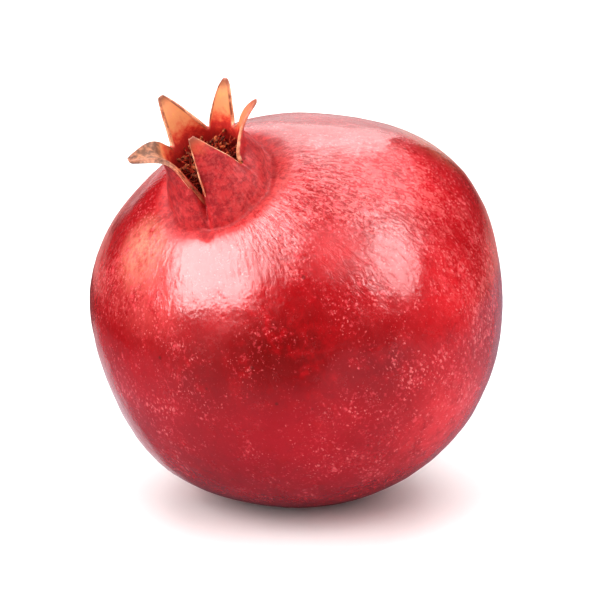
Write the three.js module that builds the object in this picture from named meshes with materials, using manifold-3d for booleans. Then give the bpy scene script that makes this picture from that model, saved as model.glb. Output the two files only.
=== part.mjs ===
// A whole pomegranate, as picked, lying on a small flat spot with its crown leaning to the front left.
// Millimetres, +Z up, +X to the right, -Y towards the viewer. The origin is the middle of the flat spot.
// Three solids: the fruit with its five-lobed crown, the tuft of dried stamens, the woody stem stub.
import * as THREE from "three";
import { mergeVertices } from "three/addons/utils/BufferGeometryUtils.js";
import Module from "manifold-3d";

const wasm = await Module();
wasm.setup();
const rad = THREE.MathUtils.degToRad;

// Driving dimensions of the body
const BODY_ACROSS = 91; // diameter round the crown's axis
const BODY_ALONG = 89; // length along the crown's axis, without the crown
const CENTRE_HEIGHT = 42.5; // the body's centre above the table
const CROWN_AXIS = new THREE.Vector3(-0.374, -0.492, 0.786).normalize();

// Where the rind swells (+) or flattens (-): compass heading from +X, rise above the horizontal,
// amount in mm and the spread of the swelling in degrees
const SWELLINGS = [
  { place: "right shoulder", heading: 14, rise: 42, amount: 2.9, spread: 26 },
  { place: "top", heading: 100, rise: 78, amount: -1.2, spread: 30 },
  { place: "left cheek", heading: 177, rise: 8, amount: 1.7, spread: 22 },
  { place: "left of the crown", heading: 172, rise: 42, amount: -0.7, spread: 13 },
  { place: "lower left flat", heading: 183, rise: -20, amount: -1.2, spread: 20 },
  { place: "right cheek", heading: 358, rise: -6, amount: 0.7, spread: 20 },
  { place: "lower left keel", heading: 200, rise: -50, amount: 1.3, spread: 24 },
  { place: "underside", heading: 270, rise: -82, amount: -1.8, spread: 34 },
  { place: "lower right keel", heading: 335, rise: -64, amount: 0.6, spread: 20 },
  { place: "front belly", heading: 285, rise: -6, amount: 0.9, spread: 34 },
  { place: "back left", heading: 140, rise: -4, amount: 1.0, spread: 30 },
  { place: "back right flat", heading: 55, rise: 4, amount: -1.1, spread: 28 },
];
const RIBS = 6; // soft ridges that run from the stem end to the crown
const RIB_HEIGHT = 0.35;
const RIB_TURN = 20; // where the first rib stands, in degrees round the crown's axis

// Driving dimensions of the crown's tube
const COLUMNS_PER_SEPAL = 12;
const NECK_STARTS = 27; // degrees from the crown's axis where the neck rises out of the body
const NECK_FLARE = 9; // how far the neck's foot follows the body before it turns up
const NECK_REACH = 6.5; // how far down from the rim the tube runs nearly straight
const NECK_SPREAD = 1.4; // and how much it widens on that stretch
const NECK_RINGS = 7;
const BODY_RINGS = 27;
const STEM_END_POLAR = 174; // degrees from the crown's axis of the body's last ring, round the stem
const RIM_RADIUS = 8.9; // outside of the tube where the lobes part
const RIM_HEIGHT = 51.4; // above the body's centre
const WALL = 1.4;
const CUP_FLOOR_HEIGHT = 42.4;
const CUP_FLOOR_RADIUS = 6.6;
const CUP_RINGS = 4;

// The lobes, or sepals, in degrees round the rim, counted from the right and towards the back. A lobe leans
// outwards from the crown's axis by leans[0] up to the first share of bend and by leans[1] from the second,
// and drift is how far it leans towards its far side, all in degrees.
const SEPALS = [
  { name: "left", from: 151, to: 257, length: 12.7, leans: [-6, 70], bend: [0.2, 0.78], drift: -6, taper: 0.9 },
  { name: "front", from: 257, to: 331, length: 10.8, leans: [-12, -26], bend: [0, 1], drift: -6, taper: 1 },
  { name: "right", from: 331, to: 398, length: 12.2, leans: [22, 58], bend: [0.1, 1], drift: 1, taper: 0.75 },
  { name: "back right", from: 38, to: 87, length: 11.6, leans: [20, 32], bend: [0, 1], drift: -15, taper: 0.55 },
  { name: "back left", from: 87, to: 151, length: 11.6, leans: [8, 20], bend: [0, 1], drift: 2, taper: 0.8 },
];
const SEPAL_ROWS = 9;
const SEPAL_TIP_SHARE = 0.1; // the tip's width as a share of the root's
const SEPAL_TIP_THICKNESS = 0.9;
const SEPAL_EDGE_SHARE = 0.6; // a lobe's thickness at its edges as a share of that in its middle
const SPLIT_FADE = 4.5; // how quickly a lobe's edges forget the split that they rise from
// How far down the tube each split between lobes reaches, as a share of the neck (negative is a high split)
const SPLITS = [
  { at: 257, depth: 0.24, spread: 9 },
  { at: 331, depth: 0.1, spread: 9 },
  { at: 38, depth: -0.1, spread: 10 },
  { at: 87, depth: 0.02, spread: 8 },
  { at: 151, depth: -0.14, spread: 12 },
];

// Driving dimensions of the stem end, the stub and the stamens
const STEM_DIMPLE = { depth: 2.0, spread: 11 }; // spread in degrees
const SOCKET_RADIUS = 2.5;
const SOCKET_DEPTH = 1.4;
const TOUCH_GAP = 0.3; // kept between pieces that meet
const STUB_RADIUS = SOCKET_RADIUS - TOUCH_GAP;
const STUB_LENGTH = 5.2;
const STAMEN_RINGS = [
  { radius: 5.5, count: 19, height: 7.6, spread: 1.2 },
  { radius: 4.1, count: 14, height: 8.2, spread: 1.6 },
  { radius: 2.5, count: 9, height: 8.6, spread: 2.0 },
];
const STAMEN_LIMIT = 5.9; // no filament strays further from the axis while it is in the cup
const FILAMENT_RADIUS = 0.34;
const ANTHER_RADIUS = 0.72;
const STAMEN_SIDES = 4;
// A stamen's rings: how far up it each lies, as a share of its length, and its radius
const STAMEN_PROFILE = [
  [0, FILAMENT_RADIUS * 1.1],
  [0.3, FILAMENT_RADIUS],
  [0.6, FILAMENT_RADIUS * 0.9],
  [0.8, FILAMENT_RADIUS * 0.9],
  [0.88, ANTHER_RADIUS],
  [0.97, ANTHER_RADIUS * 0.8],
];
const STAMEN_TIP = 1.03;
const DISC_THICKNESS = 1.2;

// A seeded generator, so that the stamens are the same each time
function seeded(seed) {
  let state = seed;
  return () => {
    state = (state * 16807) % 2147483647;
    return state / 2147483647;
  };
}

// A closed surface put together from rings and rows of points
class Skin {
  constructor() {
    this.points = [];
    this.triangles = [];
  }
  add(point) {
    return this.points.push(point) - 1;
  }
  row(points) {
    return points.map((p) => this.add(p));
  }
  quad(a, b, c, d) {
    // Split along the shorter diagonal, so that curved stretches stay even
    const [pa, pb, pc, pd] = [a, b, c, d].map((i) => this.points[i]);
    if (pa.distanceTo(pc) <= pb.distanceTo(pd)) this.triangles.push(a, b, c, a, c, d);
    else this.triangles.push(a, b, d, b, c, d);
  }
  // Joins two rows with as many points each; the outside is on the left of lower towards upper
  strip(lower, upper) {
    for (let j = 0; j + 1 < lower.length; j++) this.quad(lower[j], lower[j + 1], upper[j + 1], upper[j]);
  }
  band(lower, upper) {
    this.strip([...lower, lower[0]], [...upper, upper[0]]);
  }
  fan(ring, tip) {
    ring.forEach((a, j) => this.triangles.push(a, ring[(j + 1) % ring.length], tip));
  }
  geometry() {
    return new THREE.BufferGeometry().setFromPoints(this.points).setIndex(this.triangles);
  }
}

function solidOf(geometry) {
  const bare = geometry.clone();
  bare.deleteAttribute("normal");
  bare.deleteAttribute("uv");
  const merged = mergeVertices(bare, 1e-4);
  return new wasm.Manifold(
    new wasm.Mesh({
      numProp: 3,
      vertProperties: merged.attributes.position.array,
      triVerts: new Uint32Array(merged.index.array),
    }),
  );
}

function geometryOf(solid) {
  const mesh = solid.getMesh();
  return new THREE.BufferGeometry()
    .setAttribute("position", new THREE.BufferAttribute(mesh.vertProperties, 3))
    .setIndex(new THREE.BufferAttribute(mesh.triVerts, 1));
}

// The crown's own frame: its z is the crown's axis, its x points right, its y points up and back
const crownX = new THREE.Vector3(1, 0, 0).projectOnPlane(CROWN_AXIS).normalize();
const crownY = new THREE.Vector3().crossVectors(CROWN_AXIS, crownX);
const crownFrame = new THREE.Matrix4()
  .makeBasis(crownX, crownY, CROWN_AXIS)
  .setPosition(0, 0, CENTRE_HEIGHT);

function headingAndRise(heading, rise) {
  const [h, r] = [rad(heading), rad(rise)];
  return new THREE.Vector3(Math.cos(r) * Math.cos(h), Math.cos(r) * Math.sin(h), Math.sin(r));
}
const swellings = SWELLINGS.map((s) => ({
  ...s,
  direction: headingAndRise(s.heading, s.rise).transformDirection(crownFrame.clone().invert()),
}));

function bell(offset, spread) {
  return Math.exp(-((offset / spread) ** 2));
}

// A point of the body's surface in the crown's frame: polar is from the crown's axis, around is about it
function bodyPoint(polar, around) {
  const [p, a] = [rad(polar), rad(around)];
  const direction = new THREE.Vector3(Math.sin(p) * Math.cos(a), Math.sin(p) * Math.sin(a), Math.cos(p));
  let radius = 1 / Math.hypot(Math.sin(p) / (BODY_ACROSS / 2), Math.cos(p) / (BODY_ALONG / 2));
  for (const s of swellings) {
    radius += s.amount * bell(THREE.MathUtils.radToDeg(direction.angleTo(s.direction)), s.spread);
  }
  radius += RIB_HEIGHT * Math.cos(RIBS * (a - rad(RIB_TURN))) * Math.sin(p) ** 2;
  radius -= STEM_DIMPLE.depth * bell(180 - polar, STEM_DIMPLE.spread);
  return direction.multiplyScalar(radius);
}

function aroundAxis(radius, around, height) {
  return new THREE.Vector3(radius * Math.cos(rad(around)), radius * Math.sin(rad(around)), height);
}

// A point of the neck's outside: share 0 is where it leaves the body, 1 is the rim, and past 1 goes straight up
function neckPoint(share, around) {
  const start = bodyPoint(NECK_STARTS, around);
  const before = bodyPoint(NECK_STARTS + 1, around);
  const along = start.clone().sub(before).normalize();
  const rim = aroundAxis(RIM_RADIUS, around, RIM_HEIGHT);
  const curve = new THREE.CubicBezierCurve3(
    start,
    start.clone().addScaledVector(along, NECK_FLARE),
    rim.clone().add(aroundAxis(NECK_SPREAD, around, -NECK_REACH)),
    rim,
  );
  const point = curve.getPoint(Math.min(share, 1));
  if (share > 1) point.z += (share - 1) * (RIM_HEIGHT - CUP_FLOOR_HEIGHT);
  return point;
}

function circularOffset(a, b) {
  return Math.abs(((a - b + 540) % 360) - 180);
}

// How much of the neck stands under the rim at this angle, because of the splits between the lobes
function rimShare(around) {
  return SPLITS.reduce((share, s) => share - s.depth * bell(circularOffset(around, s.at), s.spread), 1);
}

// The columns' angles round the rim, crowded towards each lobe's edges, and even round the body
function rimAngles() {
  return SEPALS.flatMap((sepal) =>
    Array.from({ length: COLUMNS_PER_SEPAL }, (_, j) => {
      const x = (2 * j) / COLUMNS_PER_SEPAL - 1;
      const s = (x + Math.sin((Math.PI / 2) * x)) / 2;
      return sepal.from + ((s + 1) / 2) * (sepal.to - sepal.from);
    }),
  );
}

// The lobes stand in order round the rim, so their angles are made to rise
function unwrapped(angles) {
  const rising = [...angles];
  for (let j = 1; j < rising.length; j++) while (rising[j] < rising[j - 1]) rising[j] += 360;
  return rising;
}

// The lobe's centre line and cross-section at t, from 0 at its root to 1 at its tip
function sepalSection(sepal, t) {
  const width = SEPAL_TIP_SHARE + (1 - SEPAL_TIP_SHARE) * (1 - t) ** sepal.taper;
  const bent = THREE.MathUtils.smoothstep(t, ...sepal.bend);
  return {
    width,
    cup: width ** 1.3,
    thickness: THREE.MathUtils.lerp(WALL, SEPAL_TIP_THICKNESS, t),
    lean: rad(THREE.MathUtils.lerp(...sepal.leans, bent)) * Math.min(1, t * 4),
    drift: rad(sepal.drift) * Math.min(1, t * 3),
  };
}

// The outer and inner rows of one lobe above its root, whose heights over the rim are the dips of the splits
function sepalRows(sepal, dips, angles) {
  const middle = (sepal.from + sepal.to) / 2;
  const radius = RIM_RADIUS - WALL / 2;
  const up = new THREE.Vector3(0, 0, 1);
  const out = aroundAxis(1, middle, 0);
  const side = aroundAxis(1, middle + 90, 0);
  const place = aroundAxis(radius, middle, RIM_HEIGHT);
  const rows = [];
  for (let m = 1; m <= SEPAL_ROWS; m++) {
    const step = sepalSection(sepal, (m - 0.5) / SEPAL_ROWS);
    const grow = up.clone().multiplyScalar(Math.cos(step.lean)).addScaledVector(out, Math.sin(step.lean));
    grow.multiplyScalar(Math.cos(step.drift)).addScaledVector(side, Math.sin(step.drift));
    place.addScaledVector(grow, sepal.length / SEPAL_ROWS);
    const t = m / SEPAL_ROWS;
    const now = sepalSection(sepal, t);
    const along = up.clone().multiplyScalar(Math.cos(now.lean)).addScaledVector(out, Math.sin(now.lean));
    const outward = out.clone().multiplyScalar(Math.cos(now.lean)).addScaledVector(up, -Math.sin(now.lean));
    const across = side.clone().multiplyScalar(Math.cos(now.drift)).addScaledVector(along, -Math.sin(now.drift));
    const face = (half) =>
      angles.map((angle, j) => {
        const turn = rad(angle - middle);
        const [sine, cosine] = [Math.sin(turn), Math.cos(turn)];
        const reach = (2 * (angle - middle)) / (sepal.to - sepal.from);
        const thin = 1 - (1 - SEPAL_EDGE_SHARE) * reach ** 2 * Math.min(1, t * 2);
        const normal = outward.clone().multiplyScalar(now.width * cosine);
        normal.addScaledVector(across, now.cup * sine).normalize();
        return place
          .clone()
          .addScaledVector(across, radius * sine * now.width)
          .addScaledVector(outward, radius * (cosine - 1) * now.cup)
          .addScaledVector(up, dips[j] * (1 - t) ** SPLIT_FADE)
          .addScaledVector(normal, half * now.thickness * thin);
      });
    rows.push({ outer: face(0.5), inner: face(-0.5) });
  }
  return rows;
}

function addSepals(skin, outerRim, innerRim, angles) {
  const count = outerRim.length;
  SEPALS.forEach((sepal, i) => {
    const middle = (sepal.from + sepal.to) / 2;
    const columns = Array.from(
      { length: COLUMNS_PER_SEPAL + 1 },
      (_, j) => (i * COLUMNS_PER_SEPAL + j) % count,
    );
    const near = columns.map((c) => angles[c] + 360 * Math.round((middle - angles[c]) / 360));
    let outer = columns.map((c) => outerRim[c]);
    let inner = columns.map((c) => innerRim[c]);
    const dips = outer.map((k) => skin.points[k].z - RIM_HEIGHT);
    for (const made of sepalRows(sepal, dips, near)) {
      const nextOuter = skin.row(made.outer);
      const nextInner = skin.row(made.inner);
      const last = COLUMNS_PER_SEPAL;
      skin.strip(outer, nextOuter);
      skin.strip(nextInner, inner);
      skin.quad(outer[last], inner[last], nextInner[last], nextOuter[last]);
      skin.quad(inner[0], outer[0], nextOuter[0], nextInner[0]);
      [outer, inner] = [nextOuter, nextInner];
    }
    skin.strip(outer, inner);
  });
}

// The stem end: a socket for the stub in the bottom of the dimple
function stemEnd(skin, count) {
  const bottom = -bodyPoint(180, 0).length();
  const evenRing = (radius, height) =>
    Array.from({ length: count }, (_, j) => aroundAxis(radius, (360 / count) * j, height));
  const pole = skin.add(new THREE.Vector3(0, 0, bottom + SOCKET_DEPTH));
  const floor = skin.row(evenRing(SOCKET_RADIUS * 0.92, bottom + SOCKET_DEPTH));
  const mouth = skin.row(evenRing(SOCKET_RADIUS, bottom));
  const lip = skin.row(evenRing(SOCKET_RADIUS * 1.25, bottom - 0.35));
  skin.fan([...floor].reverse(), pole);
  skin.band(floor, mouth);
  skin.band(mouth, lip);
  return lip;
}

function fruitGeometry() {
  const skin = new Skin();
  const angles = unwrapped(rimAngles());
  const count = angles.length;
  const mean = angles.reduce((sum, a, j) => sum + a - (360 / count) * j, 0) / count;
  const even = angles.map((_, j) => mean + (360 / count) * j);
  let ring = stemEnd(skin, count);
  for (let k = 0; k <= BODY_RINGS; k++) {
    const polar = THREE.MathUtils.lerp(STEM_END_POLAR, NECK_STARTS, k / BODY_RINGS);
    const next = skin.row(even.map((a) => bodyPoint(polar, a)));
    skin.band(ring, next);
    ring = next;
  }
  for (let k = 1; k <= NECK_RINGS; k++) {
    const share = k / NECK_RINGS;
    const turn = THREE.MathUtils.smoothstep(share, 0, 1);
    const next = skin.row(
      even.map((a, j) => neckPoint(share * rimShare(angles[j]), THREE.MathUtils.lerp(a, angles[j], turn))),
    );
    skin.band(ring, next);
    ring = next;
  }
  const heights = ring.map((k) => skin.points[k].z);
  const innerRim = skin.row(angles.map((a, j) => aroundAxis(RIM_RADIUS - WALL, a, heights[j])));
  addSepals(skin, ring, innerRim, angles);
  let wall = innerRim;
  for (let k = 1; k <= CUP_RINGS; k++) {
    const share = k / CUP_RINGS;
    const next = skin.row(
      angles.map((a, j) =>
        aroundAxis(
          THREE.MathUtils.lerp(RIM_RADIUS - WALL, CUP_FLOOR_RADIUS, share),
          a,
          THREE.MathUtils.lerp(heights[j], CUP_FLOOR_HEIGHT, share),
        ),
      ),
    );
    skin.band(wall, next);
    wall = next;
  }
  const floor = skin.row(angles.map((a) => aroundAxis(CUP_FLOOR_RADIUS / 2, a, CUP_FLOOR_HEIGHT)));
  skin.band(wall, floor);
  skin.fan(floor, skin.add(new THREE.Vector3(0, 0, CUP_FLOOR_HEIGHT)));

  // Turned to lie as it rests, and pressed flat where it touches the table
  for (const p of skin.points) {
    p.applyMatrix4(crownFrame);
    p.z = Math.max(p.z, 0);
  }
  return skin.geometry();
}

// One dried stamen: a bent filament that swells into an anther, as a loft of small rings
function stamenGeometry(root, random, { height, spread }) {
  const tall = height * (0.75 + 0.35 * random());
  const sway = aroundAxis(spread * (0.4 + random()), 360 * random(), 0);
  const bend = aroundAxis(0.9 * random(), 360 * random(), 0);
  const at = (share) => {
    const p = root.clone().addScaledVector(sway, share ** 2);
    p.addScaledVector(bend, Math.sin(Math.PI * share * 1.5));
    const kept = STAMEN_LIMIT / Math.max(Math.hypot(p.x, p.y), STAMEN_LIMIT);
    return new THREE.Vector3(p.x * kept, p.y * kept, p.z + tall * share);
  };
  const skin = new Skin();
  const ringAt = ([share, radius]) =>
    Array.from({ length: STAMEN_SIDES }, (_, j) =>
      at(share).add(aroundAxis(radius, (360 / STAMEN_SIDES) * j, 0)),
    );
  const rings = STAMEN_PROFILE.map((level) => skin.row(ringAt(level)));
  skin.fan([...rings[0]].reverse(), skin.add(at(0)));
  rings.slice(1).forEach((ring, k) => skin.band(rings[k], ring));
  skin.fan(rings[rings.length - 1], skin.add(at(STAMEN_TIP)));
  return skin.geometry();
}

// The tuft: a disc on the cup's floor with all the stamens fused to it
function stamensGeometry() {
  const random = seeded(41);
  const foot = CUP_FLOOR_HEIGHT + TOUCH_GAP;
  const disc = new THREE.CylinderGeometry(CUP_FLOOR_RADIUS - 0.6, CUP_FLOOR_RADIUS - 0.8, DISC_THICKNESS, 24);
  disc.rotateX(Math.PI / 2).translate(0, 0, foot + DISC_THICKNESS / 2);
  const pieces = [solidOf(disc)];
  for (const ring of STAMEN_RINGS) {
    for (let i = 0; i < ring.count; i++) {
      const around = (360 / ring.count) * (i + 0.6 * random());
      const root = aroundAxis(ring.radius, around, foot + DISC_THICKNESS * 0.4);
      pieces.push(solidOf(stamenGeometry(root, random, ring)));
    }
  }
  return geometryOf(wasm.Manifold.union(pieces));
}

// The stub of the fruit's stalk, cut across, a little thicker at its end
function stubGeometry() {
  const bottom = -bodyPoint(180, 0).length();
  const top = bottom + SOCKET_DEPTH - TOUCH_GAP;
  const end = top - STUB_LENGTH;
  const profile = [
    [0, end],
    [STUB_RADIUS * 0.8, end],
    [STUB_RADIUS * 0.98, end + 0.5],
    [STUB_RADIUS * 0.86, end + 1.8],
    [STUB_RADIUS * 0.84, bottom - 0.6],
    [STUB_RADIUS * 0.9, top],
    [0, top],
  ].map(([r, z]) => new THREE.Vector2(r, z));
  return new THREE.LatheGeometry(profile, 14).rotateX(Math.PI / 2);
}

function piece(name, geometry, color, roughness) {
  geometry.computeVertexNormals();
  const made = new THREE.Mesh(geometry, new THREE.MeshStandardMaterial({ color, roughness, metalness: 0 }));
  made.name = name;
  return made;
}

const pomegranate = new THREE.Group();
const crownParts = new THREE.Group();
crownFrame.decompose(crownParts.position, crownParts.quaternion, crownParts.scale);
pomegranate.add(piece("fruit", fruitGeometry(), 0xb01a22, 0.3));
crownParts.add(piece("stamens", stamensGeometry(), 0x5a3420, 0.8));
crownParts.add(piece("stem_stub", stubGeometry(), 0x6e5236, 0.85));
pomegranate.add(crownParts);
pomegranate.updateMatrixWorld(true);

export default pomegranate;
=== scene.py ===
# A whole pomegranate, as picked, on a plain pale floor under soft studio light.
# Metres, +Z up, +X to the right, -Y towards the camera. The origin is the flat spot that it lies on.
import math
import random

import bmesh
import bpy
from mathutils import Matrix, Vector


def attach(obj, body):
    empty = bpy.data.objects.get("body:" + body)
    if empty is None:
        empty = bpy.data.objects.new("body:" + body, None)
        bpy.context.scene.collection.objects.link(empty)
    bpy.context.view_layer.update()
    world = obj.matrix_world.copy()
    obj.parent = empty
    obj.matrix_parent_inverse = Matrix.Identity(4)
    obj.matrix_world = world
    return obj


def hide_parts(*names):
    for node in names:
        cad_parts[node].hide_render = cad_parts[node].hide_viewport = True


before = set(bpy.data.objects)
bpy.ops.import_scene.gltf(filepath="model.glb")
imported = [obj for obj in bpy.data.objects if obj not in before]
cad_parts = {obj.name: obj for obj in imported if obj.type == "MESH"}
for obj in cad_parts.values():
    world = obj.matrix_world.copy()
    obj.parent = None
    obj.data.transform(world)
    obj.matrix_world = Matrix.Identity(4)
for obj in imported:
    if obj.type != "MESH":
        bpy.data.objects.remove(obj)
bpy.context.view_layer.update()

MM = 0.001

# The fruit's own frame: the crown's axis is its z, and the middle of the body is its origin
CROWN_AXIS = Vector((-0.374, -0.492, 0.786)).normalized()
CENTRE_HEIGHT = 42.5 * MM
crown_x = (Vector((1, 0, 0)) - CROWN_AXIS * CROWN_AXIS.x).normalized()
crown_y = CROWN_AXIS.cross(crown_x)
crown_turn = Matrix((crown_x, crown_y, CROWN_AXIS)).transposed().to_4x4()
CROWN_FRAME = Matrix.Translation((0, 0, CENTRE_HEIGHT)) @ crown_turn

# The rind's grid: columns round the crown's axis, rings from the stem end to the crown
COLUMNS = 72
COLUMN_STEP = 360 / COLUMNS
FIRST_COLUMN = 2
BODY_RINGS = 36
BODY_RADIUS = 45 * MM
NECK_STARTS = 30
# The neck's outside from the body up to the rim: radius and height in mm in the fruit's own frame
NECK = [
    (20.6, 39.9),
    (18.4, 40.9),
    (16.4, 41.75),
    (14.9, 42.15),
    (13.5, 42.25),
    (12.6, 42.1),
    (12.3, 42.6),
    (12.1, 43.5),
    (11.7, 44.8),
    (11.1, 46.4),
    (10.4, 48.2),
    (9.7, 49.9),
    (8.9, 51.4),
]
# The ring where the collar folds into the body
FOLD_RADIUS = 12.6
# How the collar's foot bulges: heading in degrees, the ring's height, and the push outwards in mm
BULGES = [
    (275, 43.5, 0.5),
    (310, 42.6, -0.5),
    (345, 43.5, -0.8),
    (230, 43.5, 0.4),
    (205, 42.6, -0.4),
    (5, 43.5, -1.3),
    (30, 43.5, -1.2),
]
BULGE_REACH = 4 * MM
# Points further than this from the crown's axis are on the neck's outside
OUTSIDE_CUP = 9 * MM
RIM_HEIGHT = 51.4 * MM
WALL = 1.15 * MM
# The cup inside the crown, from the rim down to its floor
CUP = [(7.5, 49.4), (7.2, 46.8), (6.9, 44.4), (6.6, 42.4)]
CUP_FLOOR_RADIUS = 3.3

# The five lobes, counted from the right and towards the back in degrees round the rim, with their length
# in mm. A lobe leans outwards by leans[0] at its root and by leans[1] past its bend, and drifts sideways.
# Its cross-section flattens to the share "cup" of its curve by the tip, and it has dried from "dry" onwards.
NEVER_DRY = 2
LOBE_FIELDS = ("span", "length", "leans", "bend", "drift", "taper", "cup", "dry")
LOBES = [
    dict(zip(LOBE_FIELDS, values))
    for values in (
        ((152, 257), 12.6, (-6, 74), (0.2, 0.78), -6, 0.9, 0.35, 0.38),
        ((257, 332), 10.6, (-12, -26), (0, 1), -6, 1.0, 0.8, NEVER_DRY),
        ((332, 397), 12.0, (22, 58), (0.1, 1), 1, 0.75, 1.0, NEVER_DRY),
        ((37, 87), 11.4, (20, 32), (0, 1), -15, 0.6, 0.7, NEVER_DRY),
        ((87, 152), 11.5, (8, 20), (0, 1), 2, 0.85, 0.7, 0.9),
    )
]
LOBE_ROWS = 10
# The first rows of a lobe, which even out the steps that the splits leave in the rim
LEVELLED_ROWS = 3
# The width left at a lobe's tip, as a share of its root, and how thin the tip is
LOBE_TIP = 0.12
LOBE_EDGE = 0.5 * MM
# How far each split between two lobes reaches down from the rim, in mm
SPLITS = {257: 8.0, 332: 1.9, 37: -1.2, 87: 0.3, 152: -1.6}
SPLIT_ROOT = 41.5 * MM
FAR_FROM_MARGIN = 5.0


def only(*objects):
    """Selects these objects and nothing else, the first one active."""
    bpy.ops.object.select_all(action="DESELECT")
    for thing in objects:
        thing.select_set(True)
    bpy.context.view_layer.objects.active = objects[0]


def edit(thing, kind="FACE"):
    only(thing)
    bpy.ops.object.mode_set(mode="EDIT")
    bpy.ops.mesh.select_mode(type=kind)
    bpy.ops.mesh.select_all(action="DESELECT")


def done():
    bpy.ops.object.mode_set(mode="OBJECT")


def pick(thing, kind, test):
    """In edit mode, selects the vertices or faces whose place in the world passes the test."""
    mesh = bmesh.from_edit_mesh(thing.data)
    bpy.ops.mesh.select_all(action="DESELECT")
    if kind == "VERT":
        for v in mesh.verts:
            v.select_set(bool(test(thing.matrix_world @ v.co)))
    else:
        for f in mesh.faces:
            f.select_set(bool(test(thing.matrix_world @ f.calc_center_median())))
    mesh.select_flush_mode()
    bmesh.update_edit_mesh(thing.data)


def heading(place):
    return math.degrees(math.atan2(place.y, place.x)) % 360


def apart(a, b):
    """The angle between two headings, in degrees."""
    return abs((a - b + 180) % 360 - 180)


def smooth(value, low, high):
    t = min(max((value - low) / (high - low), 0), 1)
    return t * t * (3 - 2 * t)


def mark(thing, layer_name, value_of, selected=False):
    """In edit mode, writes a value to a float layer on the vertices."""
    mesh = bmesh.from_edit_mesh(thing.data)
    layer = mesh.verts.layers.float.get(layer_name) or mesh.verts.layers.float.new(layer_name)
    for v in mesh.verts:
        if v.select or not selected:
            v[layer] = value_of(thing.matrix_world @ v.co)
    bmesh.update_edit_mesh(thing.data)


def mark_margin(rind, half_width):
    """In edit mode, writes how far the selected points of a lobe are from its side margin, in mm."""
    mesh = bmesh.from_edit_mesh(rind.data)
    across = mesh.verts.layers.float["across"]
    margin = mesh.verts.layers.float["margin"]
    for v in mesh.verts:
        if v.select:
            v[margin] = (1 - min(v[across], 1)) * half_width
    bmesh.update_edit_mesh(rind.data)


def extrude(step):
    """Extrudes what is selected, and moves the new part by this step."""
    bpy.ops.mesh.extrude_region_move(TRANSFORM_OT_translate={"value": step})


def ring_up(radius, height, start):
    """Extrudes the selected ring to a new radius and height, in mm, and says where it now is."""
    old_radius, old_height = start
    extrude((0, 0, (height - old_height) * MM))
    grow = radius / old_radius
    bpy.ops.transform.resize(value=(grow, grow, 1), center_override=(0, 0, 0))
    return radius, height


def swell(rind, at, height, push):
    """In edit mode, pulls the collar's foot out, or in, at one heading, with the skin round it following."""

    def at_foot(p):
        on_ring = abs(p.z / MM - height) < 0.1 and math.hypot(p.x, p.y) > OUTSIDE_CUP
        return on_ring and apart(heading(p), at) < COLUMN_STEP * 0.6

    pick(rind, "VERT", at_foot)
    out = Vector((math.cos(math.radians(at)), math.sin(math.radians(at)), 0))
    bpy.ops.transform.translate(
        value=out * push * MM,
        use_proportional_edit=True,
        proportional_edit_falloff="SMOOTH",
        proportional_size=BULGE_REACH,
    )


def body_and_cup():
    """A sphere opened at the top, with a neck drawn up out of it and a cup let down inside."""
    bpy.ops.mesh.primitive_uv_sphere_add(segments=COLUMNS, ring_count=BODY_RINGS, radius=BODY_RADIUS)
    rind = bpy.context.object
    rind.name = "rind_and_crown"
    rind.rotation_euler.z = math.radians(FIRST_COLUMN)
    bpy.ops.object.transform_apply(rotation=True)
    edit(rind)
    cap_height = BODY_RADIUS * math.cos(math.radians(NECK_STARTS))
    pick(rind, "FACE", lambda p: p.z > cap_height - 0.1 * MM)
    bpy.ops.mesh.delete(type="FACE")
    bpy.ops.mesh.select_mode(type="VERT")
    pick(rind, "VERT", lambda p: p.z > cap_height - 0.1 * MM)
    start = (BODY_RADIUS * math.sin(math.radians(NECK_STARTS)) / MM, cap_height / MM)
    mark(rind, "fold", lambda p: 0.0)
    for radius, height in NECK:
        start = ring_up(radius, height, start)
        mark(rind, "fold", lambda p: float(radius == FOLD_RADIUS), selected=True)
    start = ring_up(start[0] - WALL / MM, start[1], start)
    for radius, height in CUP:
        start = ring_up(radius, height, start)
    ring_up(CUP_FLOOR_RADIUS, start[1], start)
    bpy.ops.mesh.extrude_region_move()
    bpy.ops.mesh.merge(type="CENTER")
    bpy.ops.mesh.select_all(action="SELECT")
    bpy.ops.mesh.normals_make_consistent(inside=False)
    inner = (NECK[-1][0] - WALL / MM / 2) * MM
    floor_height = (CUP[-1][1] - 0.2) * MM
    mark(rind, "inside", lambda p: float(p.z > floor_height and math.hypot(p.x, p.y) < inner))
    mark(rind, "lobe", lambda p: 0.0)
    mark(rind, "across", lambda p: 0.0)
    mark(rind, "dried", lambda p: 0.0)
    mark(rind, "margin", lambda p: FAR_FROM_MARGIN)
    for at, height, push in BULGES:
        swell(rind, at, height, push)
    done()
    return rind


def split_rim(rind):
    """Pulls the rim down, or up, where two lobes part."""
    edit(rind, "VERT")
    for at, depth in SPLITS.items():
        for offset, share in ((0, 1), (COLUMN_STEP, 0.2), (-COLUMN_STEP, 0.2)):
            column = at + offset
            pick(rind, "VERT", lambda p: p.z > SPLIT_ROOT and apart(heading(p), column) < COLUMN_STEP / 4)
            squeeze = 1 - share * depth * MM / (RIM_HEIGHT - SPLIT_ROOT)
            bpy.ops.transform.resize(value=(1, 1, squeeze), center_override=(0, 0, SPLIT_ROOT))
    done()


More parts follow.
